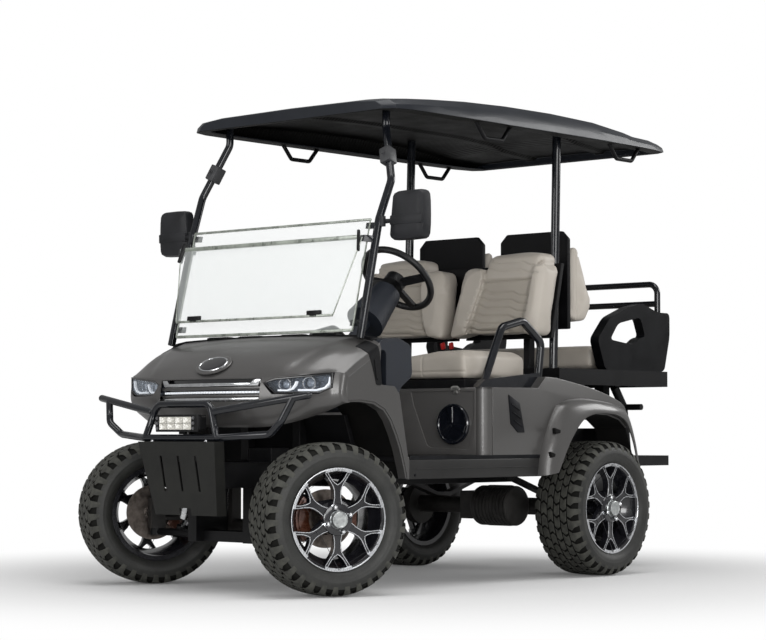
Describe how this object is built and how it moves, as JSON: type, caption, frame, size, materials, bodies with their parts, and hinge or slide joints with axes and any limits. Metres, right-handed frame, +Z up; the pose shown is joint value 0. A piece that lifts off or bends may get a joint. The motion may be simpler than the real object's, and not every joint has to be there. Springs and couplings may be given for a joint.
{
  "type": "golf cart",
  "caption": "Four-seat electric golf cart with a rear-facing bench, canopy, folding windscreen, all-terrain tyres, bumper guard and working steering.",
  "frame": {"origin": "on the ground, under the middle of the overall length and width", "axes": "+X forward, +Y to the left, +Z up"},
  "size_m": [2.7924, 1.4952, 2],
  "materials": {
    "body_paint": "warm dark grey metallic, semi gloss",
    "sill_paint": "dark grey, satin",
    "black_frame": "black powder coat",
    "black_plastic": "grained black",
    "gloss_black": "gloss black",
    "tyre": "all-terrain rubber",
    "rim": "gloss black with machined edges",
    "steel": "plain steel",
    "seat": "greige leatherette",
    "glass": "clear acrylic",
    "lamp": "smoked lamp housing",
    "trim": "bright trim"
  },
  "bodies": {
    "chassis": {"frame_rails": "black_frame", "front_rails": "black_frame", "cross_members": "black_frame", "outriggers": "black_frame", "bulkhead": "black_frame", "hitch_receiver": "black_frame", "roof_handles": "black_plastic", "front_suspension": "black_frame", "front_shocks": "steel", "steering_rack": "black_frame", "steering_column": "black_plastic", "rear_axle": "black_frame", "drive_motor": "black_frame", "rear_springs": "black_frame", "floor_pan": "black_plastic", "seat_box": "body_paint", "speakers": "black_plastic", "seat_base": "black_plastic", "battery_pack": "black_plastic", "side_body_left": "body_paint", "side_body_right": "body_paint", "rocker_panels": "sill_paint", "front_cowl": "body_paint", "headlights": "lamp", "grille_trim": "trim", "brush_guard": "gloss_black", "skid_plate": "black_frame", "light_bar": "gloss_black", "dashboard": "black_plastic", "windscreen_lower": "glass", "windscreen_upper": "glass", "roof": "gloss_black", "canopy_struts": "black_frame", "mirrors": "black_plastic", "seat_backs": "seat", "back_shells": "black_plastic", "rear_backs": "seat", "rear_shells": "black_plastic", "seat_frame": "black_frame", "hip_restraints": "black_plastic", "rear_deck": "black_plastic", "armrests": "black_plastic", "grab_bar": "gloss_black", "footrest": "black_plastic"},
    "knuckle_left": {"knuckle_left": "black_frame"},
    "knuckle_right": {"knuckle_right": "black_frame"},
    "wheel_front_left": {"tyre_front_left": "tyre", "rim_front_left": "rim"},
    "wheel_front_right": {"tyre_front_right": "tyre", "rim_front_right": "rim"},
    "wheel_rear_left": {"tyre_rear_left": "tyre", "rim_rear_left": "rim"},
    "wheel_rear_right": {"tyre_rear_right": "tyre", "rim_rear_right": "rim"},
    "rack_bar": {"tie_rods": "steel"},
    "steering_wheel": {"steering_wheel": "black_plastic"},
    "front_seat_lid": {"front_cushion": "seat"},
    "rear_seat_lid": {"rear_cushion": "seat"}
  },
  "joints": [
    {"name": "steer_left", "type": "hinge", "parent": "chassis", "child": "knuckle_left", "pos_m": [1.0629, 0.4535, 0.292], "axis": [0, 0, 1], "range_deg": [-3.84, 54.16]},
    {"name": "steer_right", "type": "hinge", "parent": "chassis", "child": "knuckle_right", "pos_m": [1.0629, -0.4535, 0.292], "axis": [0, 0, 1], "range_deg": [-3.84, 54.16]},
    {"name": "rack_slide", "type": "slide", "parent": "chassis", "child": "rack_bar", "axis": [0, 1, 0], "range_m": [-0.1145, 0.0082]},
    {"name": "steering_wheel_turn", "type": "hinge", "parent": "chassis", "child": "steering_wheel", "pos_m": [0.3904, 0.27, 1.256], "axis": [-0.7314, 0, 0.682], "range_deg": [-40, 560]},
    {"name": "spin_front_left", "type": "hinge", "parent": "knuckle_left", "child": "wheel_front_left", "pos_m": [1.09436, 0.52705, 0.292], "axis": [0.3933, 0.9194, 0], "continuous": true},
    {"name": "spin_front_right", "type": "hinge", "parent": "knuckle_right", "child": "wheel_front_right", "pos_m": [1.02628, -0.52463, 0.292], "axis": [0.4577, 0.8891, 0], "continuous": true},
    {"name": "spin_rear_left", "type": "hinge", "parent": "chassis", "child": "wheel_rear_left", "pos_m": [-0.6121, 0.5335, 0.292], "axis": [0, 1, 0], "continuous": true},
    {"name": "spin_rear_right", "type": "hinge", "parent": "chassis", "child": "wheel_rear_right", "pos_m": [-0.6121, -0.5335, 0.292], "axis": [0, 1, 0], "continuous": true},
    {"name": "front_seat_hinge", "type": "hinge", "parent": "chassis", "child": "front_seat_lid", "pos_m": [-0.2056, 0, 0.848], "axis": [0, -1, 0], "range_deg": [0, 45]},
    {"name": "rear_seat_hinge", "type": "hinge", "parent": "chassis", "child": "rear_seat_lid", "pos_m": [-0.7296, 0, 0.908], "axis": [0, 1, 0], "range_deg": [0, 60]}
  ],
  "couplings": [
    {"joint": "steer_right", "follows": "steer_left", "ratio": 1},
    {"joint": "rack_slide", "follows": "steer_left", "m_per_rad": -0.12},
    {"joint": "steering_wheel_turn", "follows": "steer_left", "ratio": 10}
  ]
}
